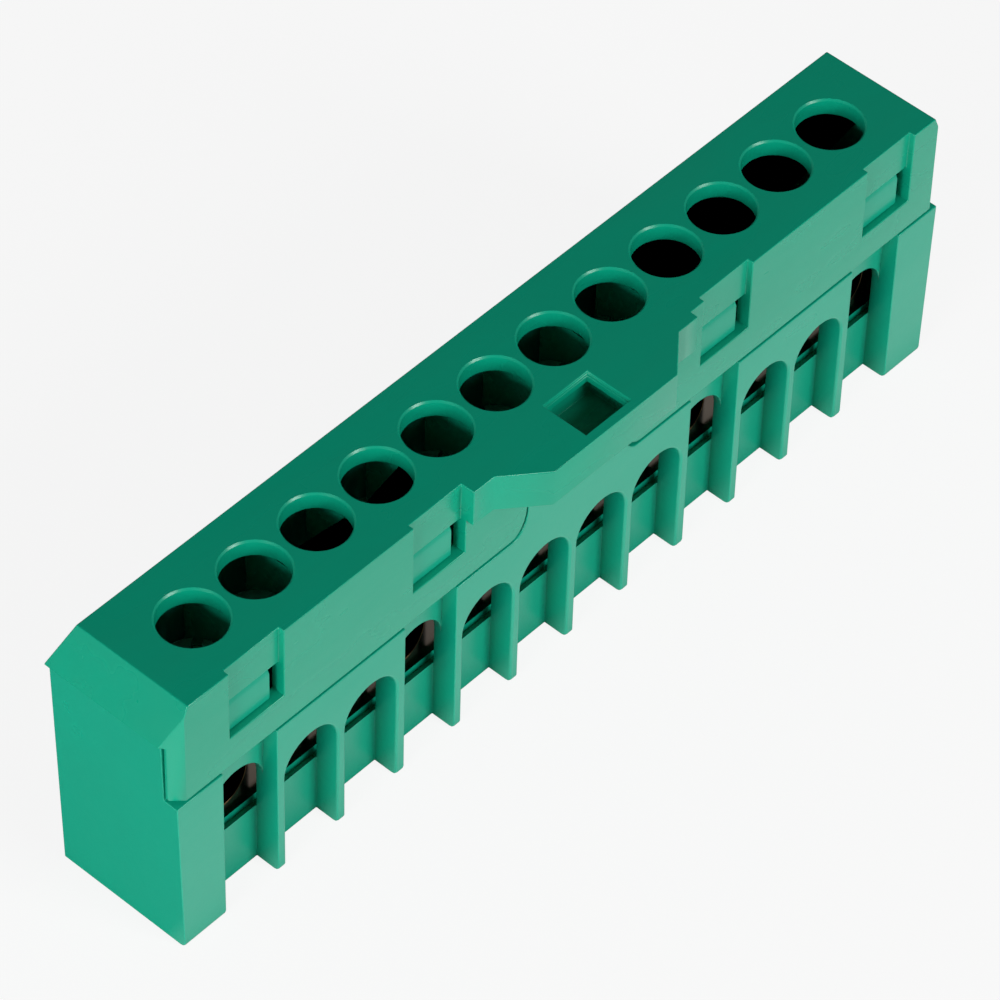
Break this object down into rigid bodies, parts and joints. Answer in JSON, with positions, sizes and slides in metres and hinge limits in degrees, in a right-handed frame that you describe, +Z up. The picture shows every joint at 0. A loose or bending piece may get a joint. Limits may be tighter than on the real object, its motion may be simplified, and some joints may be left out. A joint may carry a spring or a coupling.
{
  "type": "earth terminal bar",
  "caption": "Long insulated earth terminal bar: a green two-part housing with arched wire entries in front, screw holes along the top and a central lug with a square hole.",
  "frame": {"origin": "middle of the bounding box's footprint, on the housing's underside", "axes": "+Z up, out of the screw holes; X along the row of holes; wires enter from the front, which faces -Y"},
  "size_m": [0.0876, 0.0168, 0.027],
  "materials": {
    "green_base": "satin moulded nylon",
    "green_cover": "satin moulded nylon",
    "bar_brass": "machined",
    "screw_steel": "zinc plated"
  },
  "bodies": {
    "housing": {"housing_base": "green_base", "housing_cover": "green_cover", "busbar": "bar_brass"},
    "screw_01": {"clamp_screw_01": "screw_steel"},
    "screw_02": {"clamp_screw_02": "screw_steel"},
    "screw_03": {"clamp_screw_03": "screw_steel"},
    "screw_04": {"clamp_screw_04": "screw_steel"},
    "screw_05": {"clamp_screw_05": "screw_steel"},
    "screw_06": {"clamp_screw_06": "screw_steel"},
    "screw_07": {"clamp_screw_07": "screw_steel"},
    "screw_08": {"clamp_screw_08": "screw_steel"},
    "screw_09": {"clamp_screw_09": "screw_steel"},
    "screw_10": {"clamp_screw_10": "screw_steel"},
    "screw_11": {"clamp_screw_11": "screw_steel"},
    "screw_12": {"clamp_screw_12": "screw_steel"}
  },
  "joints": [
    {"name": "screw_travel_01", "type": "slide", "parent": "housing", "child": "screw_01", "axis": [0, 0, -1], "range_m": [0, 0.0046]},
    {"name": "screw_travel_02", "type": "slide", "parent": "housing", "child": "screw_02", "axis": [0, 0, -1], "range_m": [0, 0.0046]},
    {"name": "screw_travel_03", "type": "slide", "parent": "housing", "child": "screw_03", "axis": [0, 0, -1], "range_m": [0, 0.0046]},
    {"name": "screw_travel_04", "type": "slide", "parent": "housing", "child": "screw_04", "axis": [0, 0, -1], "range_m": [0, 0.0046]},
    {"name": "screw_travel_05", "type": "slide", "parent": "housing", "child": "screw_05", "axis": [0, 0, -1], "range_m": [0, 0.0046]},
    {"name": "screw_travel_06", "type": "slide", "parent": "housing", "child": "screw_06", "axis": [0, 0, -1], "range_m": [0, 0.0046]},
    {"name": "screw_travel_07", "type": "slide", "parent": "housing", "child": "screw_07", "axis": [0, 0, -1], "range_m": [0, 0.0046]},
    {"name": "screw_travel_08", "type": "slide", "parent": "housing", "child": "screw_08", "axis": [0, 0, -1], "range_m": [0, 0.0046]},
    {"name": "screw_travel_09", "type": "slide", "parent": "housing", "child": "screw_09", "axis": [0, 0, -1], "range_m": [0, 0.0046]},
    {"name": "screw_travel_10", "type": "slide", "parent": "housing", "child": "screw_10", "axis": [0, 0, -1], "range_m": [0, 0.0046]},
    {"name": "screw_travel_11", "type": "slide", "parent": "housing", "child": "screw_11", "axis": [0, 0, -1], "range_m": [0, 0.0046]},
    {"name": "screw_travel_12", "type": "slide", "parent": "housing", "child": "screw_12", "axis": [0, 0, -1], "range_m": [0, 0.0046]}
  ]
}
